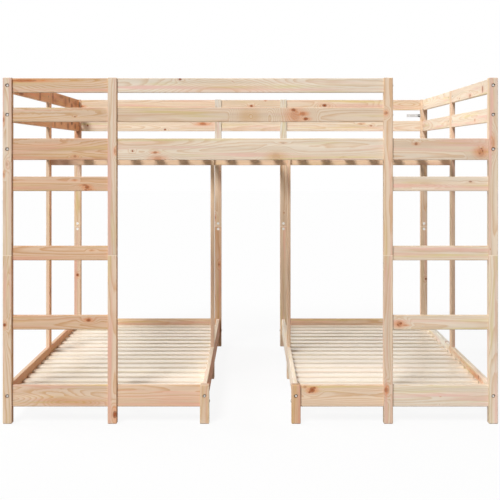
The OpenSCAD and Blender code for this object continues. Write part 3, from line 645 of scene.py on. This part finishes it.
        # Painted highlight: a pale band at the top edge of the lower posts and stiles
        if not self.lay.name.endswith("_lower"):
            return colour
        graph, top = self.graph, self.lay.high.z
        edge = graph.step(self.spot[Z], top - SEAM_HIGHLIGHT_DEPTH, top)
        return graph.mix(graph.math("MULTIPLY", edge, SEAM_HIGHLIGHT_SHARE), colour, SEAM_HIGHLIGHT)

    def tone(self):
        """How light the wood is, by board, streak and fibre, and on end grain."""
        graph = self.graph
        own = graph.math("SUBTRACT", self.chances[1], 0.5)
        tone = graph.math("MULTIPLY_ADD", own, 2 * self.wood.spread, 1.0)
        tone = graph.math("MULTIPLY_ADD", self.streak[2], STREAK_TONE, tone)
        tone = graph.math("MULTIPLY_ADD", self.fibre, FIBRE_TONE, tone)
        ends = graph.step(graph.math("ABSOLUTE", self.facing[self.lay.along]), *END_EDGE)
        return graph.math("MULTIPLY", tone, graph.math("MULTIPLY_ADD", ends, END_TONE, 1.0))

    def set_surface(self, colour):
        graph, wood = self.graph, self.wood
        rough = graph.math(
            "ADD", graph.math("MULTIPLY_ADD", self.fibre, FIBRE_ROUGH, wood.rough),
            graph.math("MULTIPLY", self.late, LATE_ROUGH)
        )
        height = graph.math(
            "ADD", graph.math("MULTIPLY", self.fibre, FIBRE_RELIEF),
            graph.math("MULTIPLY", self.late, LATE_RELIEF)
        )
        height = graph.math("MULTIPLY_ADD", self.core, KNOT_RELIEF, height)
        bump = graph.node("ShaderNodeBump", {"Height": height, **WOOD_BUMP})
        graph.plug(self.shader, {
            "Base Color": colour, "Roughness": rough, "Normal": bump.outputs[0],
            "Specular IOR Level": wood.gloss, "Coat Weight": wood.coat, "Coat Roughness": COAT_ROUGH,
        })


def steel_material(name, steel):
    """Plated steel with faint drawn lines and mottled plating, with painted shade on rounded and sloping
    faces.
    """
    material, graph, shader = new_material(name)
    place = graph.node("ShaderNodeTexCoord")
    spot = place.outputs["Object"]
    square = graph.split(graph.vector("ABSOLUTE", place.outputs["Normal"]))
    squarest = graph.math("MAXIMUM", graph.math("MULTIPLY", square[X], steel.sides), square[Y])
    squarest = graph.math("MAXIMUM", squarest, square[Z])
    mottle = graph.noise(spot, MOTTLE_SCALE, MOTTLE_DETAIL)[0]
    lines = graph.noise(graph.vector("MULTIPLY", spot, LINE_SCALE), detail=LINE_DETAIL)[0]
    # Painted shade: sloping and rounded faces take the dark colour
    colour = graph.mix(graph.step(squarest, *SQUARE_EDGE), steel.slope, steel.face)
    bump = graph.node("ShaderNodeBump", {"Height": lines, **STEEL_BUMP})
    graph.plug(shader, {
        "Base Color": graph.scaled(colour, graph.math("MULTIPLY_ADD", mottle, MOTTLE_TONE, 1.0)),
        "Roughness": graph.math("MULTIPLY_ADD", lines, LINE_ROUGH, steel.rough),
        "Normal": bump.outputs[0], "Metallic": 1.0,
    })
    return material


def dress(node, material):
    for slot in frame["nodes"][node].material_slots:
        slot.material = material


def dress_all():
    steels = {name: steel_material(name, steel) for name, steel in STEELS.items()}
    for number, part in enumerate(frame["record"]["subparts"]):
        node, slot = part["node"], part["material_slot"]
        if node == "barrel_nuts":
            dress(node, steels["nut_steel"])
        elif slot in STEEL_BY_SLOT:
            dress(node, steels[STEEL_BY_SLOT[slot]])
        else:
            wood = WoodShader("wood_" + node, Lay(node), WOODS[slot], KNOTS.get(node, ()), SEED_STEP * number)
            dress(node, wood.material)


def link(thing):
    bpy.context.scene.collection.objects.link(thing)
    return thing


def add_camera():
    camera = link(bpy.data.objects.new("camera", bpy.data.cameras.new("camera")))
    camera.location = EYE
    # Level, and straight at the front
    camera.rotation_euler = (math.pi / 2, 0, 0)
    camera.data.lens = LENS
    camera.data.shift_x, camera.data.shift_y = SHIFT
    bpy.context.scene.camera = camera


def add_lamps():
    for name, (way, strength, spread) in LAMPS.items():
        lamp = link(bpy.data.objects.new(name, bpy.data.lights.new(name, "SUN")))
        lamp.rotation_euler = Vector(way).to_track_quat("-Z", "Y").to_euler()
        lamp.data.energy = strength
        lamp.data.angle = math.radians(spread)


def seen_share(graph):
    """1 for what the camera sees, also in gloss and through glass, and 0 for light that falls on things."""
    ray = graph.node("ShaderNodeLightPath").outputs
    seen = graph.math("MAXIMUM", ray["Is Camera Ray"], ray["Is Glossy Ray"])
    return graph.math("MAXIMUM", seen, ray["Is Transmission Ray"])


def add_room():
    """White all round for the camera, and a faint light on the object, stronger from one side."""
    world = bpy.data.worlds.new("room")
    bpy.context.scene.world = world
    world.use_nodes = True
    graph = Graph(world.node_tree)
    way = graph.node("ShaderNodeTexCoord").outputs["Generated"]
    sided = graph.math("MAXIMUM", graph.vector("DOT_PRODUCT", way, ROOM_SIDE), 0.0)
    falling = graph.math("MULTIPLY_ADD", sided, ROOM_SIDE_STRENGTH, ROOM_STRENGTH)
    strength = graph.mix_numbers(seen_share(graph), falling, 1.0)
    graph.plug(world.node_tree.nodes["Background"], {"Color": WHITE, "Strength": strength})


def add_floor():
    mesh = bpy.data.meshes.new("floor")
    half = FLOOR_SIZE / 2
    corners = [(-half, -half, 0), (half, -half, 0), (half, half, 0), (-half, half, 0)]
    mesh.from_pydata(corners, [], [(0, 1, 2, 3)])
    floor = link(bpy.data.objects.new("floor", mesh))
    material, graph, shader = new_material("floor")
    grey = graph.math("MULTIPLY_ADD", seen_share(graph), FLOOR_SEEN_GREY - FLOOR_GREY, FLOOR_GREY)
    graph.plug(shader, {
        "Base Color": graph.join(grey, grey, grey), "Roughness": FLOOR_ROUGH, "Specular IOR Level": 0.0,
    })
    white = graph.node("ShaderNodeEmission", {"Color": WHITE, "Strength": 1.0})
    share = graph.math("MULTIPLY", seen_share(graph), 1 - FLOOR_SHADE_SHARE)
    both = graph.node("ShaderNodeMixShader", {0: share, 1: shader.outputs[0], 2: white.outputs[0]})
    graph.plug(graph.tree.nodes["Material Output"], {"Surface": both.outputs[0]})
    mesh.materials.append(material)


add_camera()
add_lamps()
add_room()
add_floor()
dress_all()
bpy.context.scene.view_settings.view_transform = "Standard"
